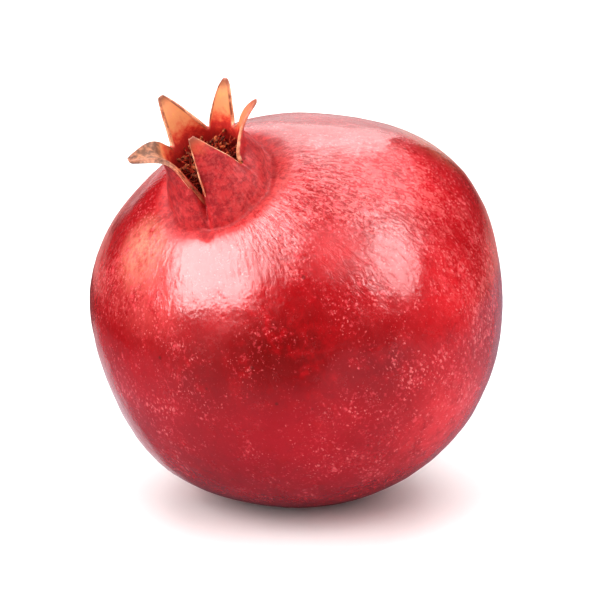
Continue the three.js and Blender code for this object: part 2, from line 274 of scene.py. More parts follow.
def thicken(thing, centre, share):
    """Moves the selected strip's outer side away from its curve's centre, and its inner side towards it."""
    bpy.ops.mesh.select_mode(type="VERT")
    mesh = bmesh.from_edit_mesh(thing.data)
    layer = mesh.verts.layers.float["inside"]
    strip = [v for v in mesh.verts if v.select]
    for side, grow in ((0, 1 + share), (1, 1 - share)):
        for v in strip:
            v.select_set(round(v[layer]) == side)
        bmesh.update_edit_mesh(thing.data)
        bpy.ops.transform.resize(value=(grow, grow, grow), center_override=centre)
    for v in strip:
        v.select_set(True)
    mesh.select_flush_mode()
    bmesh.update_edit_mesh(thing.data)
    bpy.ops.mesh.select_mode(type="FACE")


def grow_lobe(rind, lobe):
    """Extrudes one lobe of the crown row by row, with the fruit turned so that the lobe faces +X."""
    middle = sum(lobe["span"]) / 2
    half = (lobe["span"][1] - lobe["span"][0]) / 2
    root_lean, tip_lean = lobe["leans"]
    only(rind)
    rind.rotation_euler.z = -math.radians(middle)
    bpy.context.view_layer.update()
    edit(rind)
    rim = NECK[-1][0] * MM

    def on_rim(p):
        in_wall = rim - WALL * 0.95 < math.hypot(p.x, p.y) < rim - WALL * 0.05
        return p.z > SPLIT_ROOT + 1.5 * MM and in_wall and apart(heading(p), 0) < half

    pick(rind, "FACE", on_rim)
    mark(rind, "across", lambda p: apart(heading(p), 0) / half, selected=True)
    half_width = rim * math.radians(half) / MM
    mark_margin(rind, half_width)
    place = Vector((rim - WALL / 2, 0, RIM_HEIGHT))
    width = 1.0
    cup = 1.0
    lean = 0.0
    wall = WALL
    for row in range(1, LOBE_ROWS + 1):
        t = row / LOBE_ROWS
        drift = math.radians(lobe["drift"]) * min(1, 3 * t)
        half_row = t - 0.5 / LOBE_ROWS
        outwards = math.radians(root_lean + (tip_lean - root_lean) * smooth(half_row, *lobe["bend"]))
        ahead = math.cos(drift)
        step = Vector((math.sin(outwards) * ahead, math.sin(drift), math.cos(outwards) * ahead))
        step *= lobe["length"] * MM / LOBE_ROWS
        extrude(step)
        place += step
        new_lean = math.radians(root_lean + (tip_lean - root_lean) * smooth(t, *lobe["bend"]))
        bpy.ops.transform.rotate(value=-(new_lean - lean), orient_axis="Y", center_override=place)
        lean = new_lean
        new_width = LOBE_TIP + (1 - LOBE_TIP) * (1 - t) ** lobe["taper"]
        new_cup = 1 - (1 - lobe["cup"]) * smooth(t, 0, 0.8)
        shrink = new_width / width
        flatten = shrink * new_cup / cup
        level = 0.45 if row <= LEVELLED_ROWS else 1.0
        across_lobe = Matrix.Rotation(lean, 3, "Y")
        bpy.ops.transform.resize(
            value=(flatten, shrink, shrink * level),
            orient_type="GLOBAL",
            orient_matrix=across_lobe.transposed(),
            orient_matrix_type="GLOBAL",
            center_override=place,
        )
        width = new_width
        cup = new_cup
        wall *= flatten
        wanted = WALL + (LOBE_EDGE - WALL) * t
        curve = (rim - WALL / 2) * width / cup
        thicken(rind, place - across_lobe.col[0] * curve, (wanted - wall) / 2 / curve)
        wall = wanted
        mark(rind, "lobe", lambda p: t, selected=True)
        mark_margin(rind, half_width * width)
        mark(rind, "dried", lambda p: smooth(t, lobe["dry"] - 0.15, lobe["dry"] + 0.2), selected=True)
    done()
    rind.rotation_euler.z = 0


def settle_on_frame(rind, solid):
    """Turns the fruit into its place, and takes the body's swellings, flats and stalk socket from the solid."""
    group = rind.vertex_groups.new(name="body")
    for v in rind.data.vertices:
        group.add([v.index], 1 - smooth(v.co.z, 36 * MM, 42 * MM), "REPLACE")
    rind.matrix_world = CROWN_FRAME
    only(rind)
    bpy.ops.object.transform_apply(location=True, rotation=True, scale=True)
    wrap = rind.modifiers.new("wrap", "SHRINKWRAP")
    wrap.target = solid
    wrap.wrap_method = "NEAREST_SURFACEPOINT"
    wrap.vertex_group = "body"
    bpy.ops.object.modifier_apply(modifier="wrap")


def roughen(thing, name, size, strength, group=""):
    """Moves the surface in and out by a soft noise of this size, and applies it."""
    texture = bpy.data.textures.new(name, "CLOUDS")
    texture.noise_scale = size
    texture.noise_depth = 2
    modifier = thing.modifiers.new(name, "DISPLACE")
    modifier.texture = texture
    modifier.texture_coords = "LOCAL"
    modifier.strength = strength
    modifier.mid_level = 0.5
    if group:
        modifier.vertex_group = group
    only(thing)
    bpy.ops.object.modifier_apply(modifier=name)


def subdivide(thing, levels):
    modifier = thing.modifiers.new("smooth", "SUBSURF")
    modifier.levels = levels
    modifier.render_levels = levels
    only(thing)
    bpy.ops.object.modifier_apply(modifier="smooth")


def press_flat(thing):
    """Nothing of the fruit lies below the floor."""
    edit(thing, "VERT")
    pick(thing, "VERT", lambda p: p.z < 0)
    bpy.ops.transform.resize(value=(1, 1, 0), center_override=(0, 0, 0))
    done()


rind = body_and_cup()
split_rim(rind)
for lobe in LOBES:
    grow_lobe(rind, lobe)
settle_on_frame(rind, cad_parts["fruit"])
subdivide(rind, 2)
roughen(rind, "dents", 10 * MM, 0.35 * MM, "body")
roughen(rind, "ripples", 3.5 * MM, 0.16 * MM)
press_flat(rind)
only(rind)
bpy.ops.object.shade_smooth()


# The dried stamens on the cup's floor, and the stub of the stalk in its socket
STAMEN_FLOOR = 46.3 * MM
STAMEN_SPREAD = 5.9 * MM
FILAMENT_RADIUS = 0.2 * MM
FILAMENT_STEPS = 7
STAMEN_COUNT = 230
GOLDEN_ANGLE = math.radians(137.508)
# The stamens that are copied: name, lean and curl in degrees, length in mm, and seed
STAMEN_MODELS = [
    ("stamen_a", 4, 70, 6.2, 1),
    ("stamen_b", 12, 150, 7.4, 2),
    ("stamen_c", -8, 230, 8.4, 3),
    ("stamen_d", 20, -60, 5.6, 4),
]
# The stub of the stalk: its radius, its place on the crown's axis, and each length of it in mm with how much
# wider it gets
STUB_RADIUS = 2.1 * MM
STUB_TOP = -43.2 * MM
STUB_LENGTHS = [(0.5, 0.86), (1.0, 0.94), (1.0, 1.06), (1.0, 1.16)]


def make_stamen(name, lean, curl, length, seed):
    """One dried stamen, standing at the origin: a thread that curls over, with an anther at its end."""
    chance = random.Random(seed)
    root = 0.4 * MM
    bpy.ops.mesh.primitive_cylinder_add(
        vertices=5,
        radius=FILAMENT_RADIUS,
        depth=root,
        location=(0, 0, root / 2),
    )
    stamen = bpy.context.object
    stamen.name = name
    edit(stamen)
    pick(stamen, "FACE", lambda p: p.z > root * 0.97)
    place = Vector((0, 0, root))
    angle = math.radians(lean)
    turn = math.radians(curl) / FILAMENT_STEPS
    for _ in range(FILAMENT_STEPS):
        angle += math.radians(curl * chance.uniform(0.4, 1.6)) / FILAMENT_STEPS
        step = Vector((math.sin(angle), chance.uniform(-0.3, 0.3), math.cos(angle)))
        step *= length * MM / FILAMENT_STEPS
        extrude(step)
        place += step
        bpy.ops.transform.rotate(value=-turn, orient_axis="Y", center_override=place)
        bpy.ops.transform.resize(value=(0.96, 0.96, 0.96), center_override=place)
    mark(stamen, "anther", lambda p: 0.0)
    done()
    bpy.ops.mesh.primitive_uv_sphere_add(segments=7, ring_count=5, radius=1, location=place)
    anther = bpy.context.object
    anther.scale = (0.30 * MM, 0.36 * MM, 0.6 * MM)
    anther.rotation_euler = (chance.uniform(-0.8, 0.8), angle, 0)
    bpy.ops.object.transform_apply(scale=True, rotation=True)
    edit(anther)
    mark(anther, "anther", lambda p: 1.0)
    done()
    only(stamen, anther)
    bpy.ops.object.join()
    bpy.ops.object.transform_apply(location=True, rotation=True, scale=True)
    return stamen


def make_stamens():
    """The tangle in the crown's mouth: a few stamens modelled once and copied round their disc."""
    chance = random.Random(17)
    models = [make_stamen(*values) for values in STAMEN_MODELS]
    copies = []
    for index in range(STAMEN_COUNT):
        only(models[index % len(models)])
        bpy.ops.object.duplicate()
        copy = bpy.context.object
        around = index * GOLDEN_ANGLE
        out = STAMEN_SPREAD * math.sqrt((index + 0.5) / STAMEN_COUNT) * 0.86
        copy.location = (out * math.cos(around), out * math.sin(around), STAMEN_FLOOR)
        outward = out / STAMEN_SPREAD * chance.uniform(-0.05, 0.3)
        copy.rotation_euler = (
            -outward * math.sin(around),
            outward * math.cos(around),
            chance.uniform(0, 2 * math.pi),
        )
        size = chance.uniform(0.75, 1.1)
        copy.scale = (size, size, size)
        copies.append(copy)
    bpy.ops.mesh.primitive_cylinder_add(
        vertices=14,
        radius=5.4 * MM,
        depth=0.6 * MM,
        location=(0, 0, STAMEN_FLOOR - 0.2 * MM),
    )
    disc = bpy.context.object
    disc.name = "stamens_and_style"
    edit(disc)
    mark(disc, "anther", lambda p: 0.0)
    done()
    bpy.ops.object.select_all(action="DESELECT")
    for model in models:
        model.select_set(True)
    bpy.ops.object.delete()
    only(disc, *copies)
    bpy.ops.object.join()
    disc.matrix_world = CROWN_FRAME @ disc.matrix_world
    bpy.ops.object.transform_apply(location=True, rotation=True, scale=True)
    bpy.ops.object.shade_smooth()
    return disc


def make_stub():
    """What is left of the stalk: a short woody stub, snapped off uneven."""
    bpy.ops.mesh.primitive_cylinder_add(
        vertices=16,
        radius=STUB_RADIUS,
        depth=1.2 * MM,
        location=(0, 0, STUB_TOP),
    )
    stub = bpy.context.object
    stub.name = "stalk_stub"
    edit(stub)
    mesh = bmesh.from_edit_mesh(stub.data)
    lowest = min(mesh.faces, key=lambda f: f.calc_center_median().z)
    lowest.select_set(True)
    bmesh.update_edit_mesh(stub.data)
    for length, width in STUB_LENGTHS:
        extrude((0, 0, -length * MM))
        bpy.ops.transform.resize(value=(width, width, 1), center_override=(0, 0, 0))
    bpy.ops.mesh.inset(thickness=0.5 * MM)
    bpy.ops.transform.translate(value=(0, 0, 0.35 * MM))
    done()
    stub.matrix_world = CROWN_FRAME @ stub.matrix_world
    only(stub)
    bpy.ops.object.transform_apply(location=True, rotation=True, scale=True)
    subdivide(stub, 2)
    roughen(stub, "bark", 0.8 * MM, 0.25 * MM)
    only(stub)
    bpy.ops.object.shade_smooth()
    return stub


stamens = make_stamens()
stub = make_stub()


# Materials. Their patterns are laid out in the fruit's own frame, in metres.
def add(tree, kind, inputs=None, **settings):
    """Adds a node, sets its settings, and sets or links its inputs."""
    node = tree.nodes.new(kind)
    for name, value in settings.items():
        setattr(node, name, value)
    for key, value in (inputs or {}).items():
        if isinstance(value, bpy.types.NodeSocket):
            tree.links.new(value, node.inputs[key])
        else:
            node.inputs[key].default_value = value
    return node


def calc(tree, operation, a, b=0.5, clamp=False):
    return add(tree, "ShaderNodeMath", {0: a, 1: b}, operation=operation, use_clamp=clamp).outputs[0]


def plus(tree, a, b):
    return calc(tree, "ADD", a, b)


def times(tree, a, b):
    return calc(tree, "MULTIPLY", a, b)


def vector_calc(tree, operation, a, b=(0, 0, 0), output="Vector"):
    return add(tree, "ShaderNodeVectorMath", {0: a, 1: b}, operation=operation).outputs[output]


def scaled(tree, vector, amount):
    return add(tree, "ShaderNodeVectorMath", {0: vector, "Scale": amount}, operation="SCALE").outputs[0]


def blend(tree, factor, a, b):
    """Mixes two colours."""
    return add(tree, "ShaderNodeMix", {0: factor, 6: a, 7: b}, data_type="RGBA").outputs[2]


def ease(tree, value, low, high, to_low=0.0, to_high=1.0):
    """A smooth step between two values."""
    inputs = {0: value, 1: low, 2: high, 3: to_low, 4: to_high}
    return add(tree, "ShaderNodeMapRange", inputs, interpolation_type="SMOOTHSTEP").outputs[0]


def noise(tree, vector, size, detail=3.0, roughness=0.55, distortion=0.0):
    """Soft noise with features of this size in metres."""
    inputs = {"Vector": vector, "Scale": 1 / size, "Detail": detail, "Roughness": roughness}
    return add(tree, "ShaderNodeTexNoise", {**inputs, "Distortion": distortion}).outputs["Fac"]


def cells(tree, vector, size, **settings):
    return add(tree, "ShaderNodeTexVoronoi", {"Vector": vector, "Scale": 1 / size}, **settings).outputs


def warp(tree, vector, size, amount):
    """The place, pushed about at random by up to this much."""
    inputs = {"Vector": vector, "Scale": 1 / size, "Detail": 2.0}
    cloud = add(tree, "ShaderNodeTexNoise", inputs).outputs["Color"]
    push = vector_calc(tree, "SUBTRACT", cloud, (0.5, 0.5, 0.5))
    return vector_calc(tree, "ADD", vector, scaled(tree, push, amount * 4))


def attribute(tree, name):
    return add(tree, "ShaderNodeAttribute", attribute_name=name).outputs["Fac"]


def fruit_place(tree):
    """A point of the piece, and the same point in the fruit's own frame."""
    spot = add(tree, "ShaderNodeTexCoord").outputs["Object"]
    inputs = {"Vector": spot, "Location": CROWN_FRAME.translation, "Rotation": CROWN_FRAME.to_euler()}
    place = add(tree, "ShaderNodeMapping", inputs, vector_type="TEXTURE").outputs[0]
    return spot, place


def near(tree, spot, where, reach, solid_share=0.2, amount=1.0):
    """The amount round a place, fading out to its reach."""
    away = vector_calc(tree, "DISTANCE", spot, where, "Value")
    return ease(tree, away, reach, reach * solid_share, 0, amount)


def placed(tree, spot, places, start):
    """The start value, with each place's amount added round it out to its reach."""
    total = start
    for where, reach, amount in places:
        total = plus(tree, total, near(tree, spot, where, reach, amount=amount))
    return total


def new_material(name):
    material = bpy.data.materials.new(name)
    material.use_nodes = True
    tree = material.node_tree
    return material, tree, tree.nodes["Principled BSDF"]


def add_bump(tree, skin, height, strength, depth):
    bump = add(tree, "ShaderNodeBump", {"Height": height, "Strength": strength, "Distance": depth}).outputs[0]
    tree.links.new(bump, skin.inputs["Normal"])
    return bump


GRAIN_INPUTS = {
    "Place": "NodeSocketVector",
    "Scale": "NodeSocketFloat",
    "Detail": "NodeSocketFloat",
    "Roughness": "NodeSocketFloat",
    "From": "NodeSocketFloat",
    "To": "NodeSocketFloat",
    "Dark": "NodeSocketColor",
    "Light": "NodeSocketColor",
}


def dry_grain_group():
    """Dry plant tissue in two colours, mottled by soft noise, for the husks, the stamens and the stalk."""
    tree = bpy.data.node_groups.new("dry_grain", "ShaderNodeTree")
    for socket, kind in GRAIN_INPUTS.items():
        tree.interface.new_socket(socket, in_out="INPUT", socket_type=kind)
    tree.interface.new_socket("Colour", in_out="OUTPUT", socket_type="NodeSocketColor")
    tree.interface.new_socket("Grain", in_out="OUTPUT", socket_type="NodeSocketFloat")
    given = tree.nodes.new("NodeGroupInput").outputs
    inputs = {"Vector": given["Place"], "Scale": given["Scale"], "Detail": given["Detail"]}
    inputs["Roughness"] = given["Roughness"]
    grain = add(tree, "ShaderNodeTexNoise", inputs).outputs["Fac"]
    colour = blend(tree, ease(tree, grain, given["From"], given["To"]), given["Dark"], given["Light"])
    result = tree.nodes.new("NodeGroupOutput")
    tree.links.new(colour, result.inputs["Colour"])
    tree.links.new(grain, result.inputs["Grain"])
    return tree


DRY_GRAIN = dry_grain_group()


def dry_grain(tree, place, size, detail, roughness, between, dark, light):
    """Places the dry grain in a material, and gives its colour and the grain itself."""
    inputs = {
        "Place": place,
        "Scale": 1 / size,
        "Detail": detail,
        "Roughness": roughness,
        "From": between[0],
        "To": between[1],
        "Dark": dark,
        "Light": light,
    }
    return add(tree, "ShaderNodeGroup", inputs, node_tree=DRY_GRAIN).outputs


# The skin's reds, and its pale and dark marks
DEEP_RED = (0.33, 0.0016, 0.0050, 1)
CLEAR_RED = (0.44, 0.0034, 0.0085, 1)
WARM_RED = (0.62, 0.012, 0.018, 1)
STREAK_RED = (0.28, 0.0016, 0.0045, 1)
SHADE_RED = (0.24, 0.002, 0.005, 1)
GRIT_PINK = (0.76, 0.07, 0.09, 1)
NET_PINK = (0.84, 0.18, 0.175, 1)
SPOT_BROWN = (0.08, 0.010, 0.006, 1)
# The collar at the crown's foot
COLLAR_DARK = (0.32, 0.002, 0.007, 1)
COLLAR_BRIGHT = (0.58, 0.026, 0.028, 1)
COLLAR_GRIT = (0.64, 0.09, 0.07, 1)
# Painted shade in the crease where the collar folds into the body
FOLD_PAINTED_SHADE = (0.26, 0.0016, 0.004, 1)
# The cup and the lobes
CUP_DARK = (0.50, 0.020, 0.014, 1)
CUP_RED = (0.74, 0.060, 0.03, 1)
LOBE_ORANGE = (0.82, 0.34, 0.15, 1)
LOBE_GOLD = (0.82, 0.43, 0.14, 1)
LOBE_SIDE = (0.60, 0.10, 0.05, 1)
LOBE_OUTSIDE = (0.62, 0.10, 0.035, 1)
LOBE_BLUSH = (0.66, 0.15, 0.09, 1)
EDGE_PALE = (0.84, 0.44, 0.26, 1)
EDGE_RED = (0.62, 0.20, 0.10, 1)
EDGE_INNER = (0.62, 0.20, 0.09, 1)
EDGE_BROWN = (0.22, 0.050, 0.025, 1)
TIP_BROWN = (0.28, 0.060, 0.030, 1)
HUSK_DARK = (0.07, 0.024, 0.015, 1)
HUSK_LIGHT = (0.44, 0.18, 0.10, 1)
# The dried stamens, their anthers and the stalk
THREAD_DARK = (0.14, 0.012, 0.006, 1)
THREAD_RED = (0.66, 0.075, 0.030, 1)
ANTHER_DARK = (0.11, 0.018, 0.008, 1)
ANTHER_LIGHT = (0.52, 0.14, 0.05, 1)
WOOD_DARK = (0.10, 0.05, 0.025, 1)
WOOD_LIGHT = (0.36, 0.22, 0.12, 1)

# Streaks follow the fruit from stalk to crown, one of this length for each radian, and wrinkles are shorter
STREAK_PER_RADIAN = 11 * MM
WRINKLE_SHORTENING = 2.7
# Sizes of the speckles' cells, how much of a cell the largest fills, how strong they are, and their colour
SPECKLES = [
    (1.7 * MM, 0.50, 0.50, (0.76, 0.09, 0.11, 1)),
    (1.0 * MM, 0.54, 0.60, (0.78, 0.15, 0.155, 1)),
    (0.65 * MM, 0.58, 0.60, (0.80, 0.20, 0.20, 1)),
]
# Where the speckles are thicker, or thinner: centre, reach and amount
FLECKED = [
    ((0.0040, -0.0300, 0.0740), 0.028, 0.20),
    ((0.0360, -0.0200, 0.0580), 0.026, 0.09),
    ((0.0220, -0.0170, 0.0770), 0.017, 0.13),
    ((-0.0370, -0.0200, 0.0560), 0.018, 0.10),
    ((0.0330, -0.0270, 0.0300), 0.020, 0.06),
    ((-0.0020, -0.0450, 0.0430), 0.024, -0.10),
    ((-0.0100, -0.0380, 0.0200), 0.022, -0.06),
    ((0.0080, -0.0380, 0.0655), 0.011, -0.22),
]
# Where the skin is more wrinkled
WRINKLED = [
    ((0.0030, -0.0320, 0.0730), 0.022, 1.3),
    ((0.0170, -0.0340, 0.0660), 0.020, 1.0),
    ((-0.0050, -0.0375, 0.0670), 0.015, 1.2),
]
# Where the skin is duller
DULL = [
    ((-0.0045, -0.0240, 0.0800), 0.006, 0.45),
    ((-0.0250, -0.0280, 0.0690), 0.007, 0.35),
    ((0.0080, -0.0380, 0.0655), 0.010, 0.20),
]
# Places where the red thins to salmon or orange, deepens, or warms: centre, reach, colour and strength. Some
# deep patches are painted shade and painted dark reflection, and one bright patch is painted bounced light.
PATCHES_AND_PAINTED_LIGHT = [
    ((-0.0335, -0.0240, 0.0620), 0.011, (0.90, 0.46, 0.30, 1), 0.7),
    ((-0.0310, -0.0300, 0.0560), 0.016, (0.80, 0.12, 0.11, 1), 0.5),
    ((0.0300, 0.0040, 0.0800), 0.013, (0.82, 0.34, 0.18, 1), 0.45),
    ((0.0100, 0.0400, 0.0300), 0.018, (0.84, 0.36, 0.12, 1), 0.22),
    ((0.0220, -0.0170, 0.0770), 0.019, (0.74, 0.0200, 0.0300, 1), 0.6),
    # Painted bounced light: a brighter red low on the right
    ((0.0330, -0.0260, 0.0230), 0.022, (0.85, 0.05, 0.06, 1), 0.6),
    ((0.0330, -0.0280, 0.0560), 0.016, (0.82, 0.04, 0.05, 1), 0.5),
    # Painted shade: deep red in the valley round the collar's foot
    ((-0.0050, -0.0245, 0.0795), 0.005, (0.30, 0.0020, 0.0050, 1), 0.8),
    ((-0.0250, -0.0280, 0.0690), 0.007, (0.30, 0.0020, 0.0050, 1), 0.6),
    ((0.0080, -0.0380, 0.0655), 0.011, (0.58, 0.0060, 0.0130, 1), 0.7),
    # The dark band across the front: partly the skin's own deep red, partly painted dark reflection
    ((-0.0020, -0.0445, 0.0440), 0.021, (0.19, 0.0018, 0.0020, 1), 0.95),
    ((-0.0060, -0.0450, 0.0420), 0.012, (0.15, 0.0040, 0.0020, 1), 0.6),
    # Darker red low on the front and on the left
    ((0.0000, -0.0380, 0.0180), 0.034, (0.40, 0.0035, 0.0140, 1), 0.7),
    ((-0.0300, -0.0280, 0.0300), 0.018, (0.36, 0.0030, 0.0100, 1), 0.6),
    ((-0.0200, -0.0400, 0.0400), 0.014, (0.22, 0.0016, 0.0035, 1), 0.8),
    ((0.0170, -0.0410, 0.0430), 0.013, (0.22, 0.0016, 0.0035, 1), 0.8),
]
# The middle of the lobe on the right, which is pinker
BLUSH = CROWN_FRAME @ Vector((13.5 * MM, 0.5 * MM, 59 * MM))
BLUSH_REACH = 8 * MM


def drawn_places(tree, place):
    """The angle from the crown's axis, and places drawn out along the fruit for streaks and for wrinkles."""
    parts = add(tree, "ShaderNodeSeparateXYZ", {0: place}).outputs
    flat = add(tree, "ShaderNodeCombineXYZ", {0: parts[0], 1: parts[1]}).outputs[0]
    polar = calc(tree, "ARCTAN2", vector_calc(tree, "LENGTH", flat, output="Value"), parts[2])
    way = scaled(tree, vector_calc(tree, "NORMALIZE", flat), BODY_RADIUS)
    way_parts = add(tree, "ShaderNodeSeparateXYZ", {0: way}).outputs
    along = times(tree, polar, STREAK_PER_RADIAN)
    streak_place = add(tree, "ShaderNodeCombineXYZ", {0: way_parts[0], 1: way_parts[1], 2: along}).outputs[0]
    wrinkle_place = vector_calc(tree, "MULTIPLY", streak_place, (1, 1, WRINKLE_SHORTENING))
    return polar, streak_place, wrinkle_place


def reds(tree, spot, place, streak_place, mottle):
    """The skin's reds: broad and fine mottling, streaks along the fruit, and the patches, some of them painted
    shade, painted dark reflection and painted bounced light.
    """
    broad = noise(tree, place, 24 * MM, 4, 0.6)
    streaks = noise(tree, streak_place, 2.2 * MM, 4, 0.6)
    colour = blend(tree, ease(tree, broad, 0.36, 0.64), DEEP_RED, CLEAR_RED)
    colour = blend(tree, ease(tree, mottle, 0.46, 0.66, 0, 0.12), colour, WARM_RED)
    colour = blend(tree, ease(tree, streaks, 0.5, 0.70, 0, 0.35), colour, STREAK_RED)
    ragged = ease(tree, noise(tree, place, 4 * MM, 5, 0.7), 0.26, 0.56)
    for where, reach, tint, strength in PATCHES_AND_PAINTED_LIGHT:
        # Each patch is a tint, or painted shade, painted reflection or painted bounced light
        patch = times(tree, near(tree, spot, where, reach, solid_share=0.15), ragged)
        colour = blend(tree, times(tree, patch, strength), colour, tint)
    return colour


def flecks(tree, spot, place, wrinkle_place, colour):
    """Adds fine grit, a net of flecks where they are thickest, shade between them, and the speckles."""
    thick = placed(tree, spot, FLECKED, 0.0)
    clumps = ease(tree, noise(tree, place, 11 * MM, 4, 0.65), 0.25, 0.75, 0.36, 0.64)
    clumps = plus(tree, clumps, thick)
    lean = times(tree, calc(tree, "SUBTRACT", clumps, 0.5), 0.55)
    grit = plus(tree, noise(tree, place, 0.8 * MM, 4, 0.65), lean)
    colour = blend(tree, ease(tree, grit, 0.53, 0.68, 0, 0.4), colour, GRIT_PINK)
    net = plus(tree, noise(tree, wrinkle_place, 1.7 * MM, 5, 0.7, 1.2), times(tree, lean, 0.4))
    net = times(tree, ease(tree, net, 0.52, 0.60), ease(tree, thick, 0.02, 0.16, 0, 0.6))
    colour = blend(tree, net, colour, NET_PINK)
    shade = calc(tree, "SUBTRACT", noise(tree, place, 1.5 * MM, 4, 0.7), times(tree, lean, 0.5))
    colour = blend(tree, ease(tree, shade, 0.52, 0.68, 0, 0.25), colour, SHADE_RED)
    dense = ease(tree, clumps, 0.34, 0.70, 0.3, 1.0)
    long_place = vector_calc(tree, "MULTIPLY", warp(tree, place, 1.4 * MM, 0.35 * MM), (1, 1, 0.62))
    for size, room, amount, tint in SPECKLES:
        cell = cells(tree, long_place, size)
        lot = add(tree, "ShaderNodeSeparateColor", {0: cell["Color"]}).outputs[0]
        radius = times(tree, times(tree, lot, room), dense)
        dot = ease(tree, calc(tree, "SUBTRACT", radius, cell["Distance"]), -0.03, 0.2)
        colour = blend(tree, times(tree, dot, amount), colour, tint)
    return colour, grit


def dark_spots(tree, place, colour):
    """Adds a few small brown scars."""
    cell = cells(tree, place, 4.2 * MM)
    lot = add(tree, "ShaderNodeSeparateColor", {0: cell["Color"]}).outputs[1]
    radius = times(tree, ease(tree, lot, 0.55, 1.0), 0.11)
    dark = ease(tree, calc(tree, "SUBTRACT", radius, cell["Distance"]), -0.02, 0.03)
    return blend(tree, times(tree, dark, 0.5), colour, SPOT_BROWN)


def collar_red(tree, polar, mottle, fine, grit, fold, colour):
    """Adds the collar's own red at the crown's foot, with painted shade where it folds into the body."""
    wavy = plus(tree, polar, times(tree, calc(tree, "SUBTRACT", mottle, 0.5), 0.12))
    neck = ease(tree, wavy, 0.38, 0.33)
    neck_red = blend(tree, ease(tree, fine, 0.40, 0.60), COLLAR_DARK, COLLAR_BRIGHT)
    neck_red = blend(tree, ease(tree, grit, 0.50, 0.66, 0, 0.35), neck_red, COLLAR_GRIT)
    colour = blend(tree, times(tree, neck, 0.8), colour, neck_red)
    # Painted shade along the fold
    return blend(tree, times(tree, fold, 0.45), colour, FOLD_PAINTED_SHADE)


def lobe_colours(tree, spot, place, fine, inside, colour):
    """Adds the cup and the lobes: red roots, orange insides, pale edges, brown tips and the dried husk."""
    lobe = attribute(tree, "lobe")
    ragged = noise(tree, place, 1.6 * MM, 4, 0.6)
    wander = times(tree, calc(tree, "SUBTRACT", ragged, 0.5), 0.7)
    along = plus(tree, lobe, wander)
    outer = blend(tree, ease(tree, along, 0.45, 1.0), colour, LOBE_OUTSIDE)
    inner = blend(tree, ease(tree, along, 0.0, 0.22), CUP_DARK, CUP_RED)
    inner = blend(tree, ease(tree, along, 0.08, 0.46), inner, LOBE_ORANGE)
    golden = times(tree, ease(tree, fine, 0.46, 0.66, 0, 0.5), ease(tree, along, 0.3, 0.6))
    inner = blend(tree, golden, inner, LOBE_GOLD)
    side = plus(tree, attribute(tree, "across"), wander)
    inner = blend(tree, ease(tree, side, 0.8, 1.1, 0, 0.6), inner, LOBE_SIDE)
    whole = blend(tree, ease(tree, inside, 0.5, 0.8), outer, inner)

    rim = calc(tree, "ABSOLUTE", calc(tree, "SUBTRACT", times(tree, inside, 2.0), 1.0))
    margin = plus(tree, attribute(tree, "margin"), times(tree, wander, 0.7))
    edge = calc(tree, "MAXIMUM", ease(tree, rim, 0.9, 0.4), ease(tree, margin, 0.55, 0.25))
    edge = times(tree, edge, ease(tree, lobe, 0.0, 0.08))
    pale = blend(tree, ease(tree, ragged, 0.4, 0.62), EDGE_PALE, EDGE_RED)
    brown = blend(tree, ease(tree, ragged, 0.42, 0.60), EDGE_INNER, EDGE_BROWN)
    whole = blend(tree, edge, whole, blend(tree, ease(tree, inside, 0.7, 0.95, 0, 0.8), pale, brown))

    blush = times(tree, near(tree, spot, BLUSH, BLUSH_REACH, amount=0.75), ease(tree, lobe, 0.0, 0.2))
    whole = blend(tree, times(tree, blush, ease(tree, fine, 0.36, 0.56, 0.6, 1.0)), whole, LOBE_BLUSH)
    tip = ease(tree, plus(tree, lobe, times(tree, wander, 0.3)), 0.76, 0.98)
    whole = blend(tree, times(tree, tip, 0.85), whole, TIP_BROWN)
    husk = dry_grain(tree, place, 1.8 * MM, 5, 0.7, (0.4, 0.6), HUSK_DARK, HUSK_LIGHT)["Colour"]
    dried = plus(tree, attribute(tree, "dried"), times(tree, wander, 0.7))
    return blend(tree, ease(tree, dried, 0.35, 0.8, 0, 0.85), whole, husk)


def rind_gloss(tree, skin, spot, polar, mottle, inside, fold):
    """A waxy gloss on the body, and a duller crown."""
    crown = calc(tree, "MAXIMUM", inside, ease(tree, polar, 0.40, 0.28))
    dull = placed(tree, spot, DULL, 0.0)
    rough = ease(tree, mottle, 0.3, 0.75, 0.18, 0.30)
    for extra in (times(tree, crown, 0.24), times(tree, fold, 0.35), dull):
        rough = plus(tree, rough, extra)
    tree.links.new(rough, skin.inputs["Roughness"])
    coat = calc(tree, "SUBTRACT", 0.5, times(tree, crown, 0.45))
    coat = calc(tree, "SUBTRACT", coat, dull, clamp=True)
    tree.links.new(coat, skin.inputs["Coat Weight"])
    skin.inputs["Coat Roughness"].default_value = 0.10
    skin.inputs["Specular IOR Level"].default_value = 0.5


def rind_relief(tree, skin, spot, place, wrinkle_place):
    """Leathery wrinkles in places, soft dimples all over, and pores."""
    wrinkled = ease(tree, noise(tree, place, 14 * MM, 2), 0.42, 0.58, 0.4, 1.0)
    wrinkled = placed(tree, spot, WRINKLED, wrinkled)
    wrinkles = times(tree, noise(tree, wrinkle_place, 2.2 * MM, 5, 0.6, 0.8), wrinkled)
    dimples = times(tree, noise(tree, place, 3 * MM, 3, 0.6), 0.6)
    pores = times(tree, cells(tree, place, 0.9 * MM, feature="SMOOTH_F1")["Distance"], 0.2)
    height = plus(tree, plus(tree, dimples, wrinkles), pores)
    bump = add_bump(tree, skin, height, 0.75, 0.16 * MM)
    tree.links.new(bump, skin.inputs["Coat Normal"])


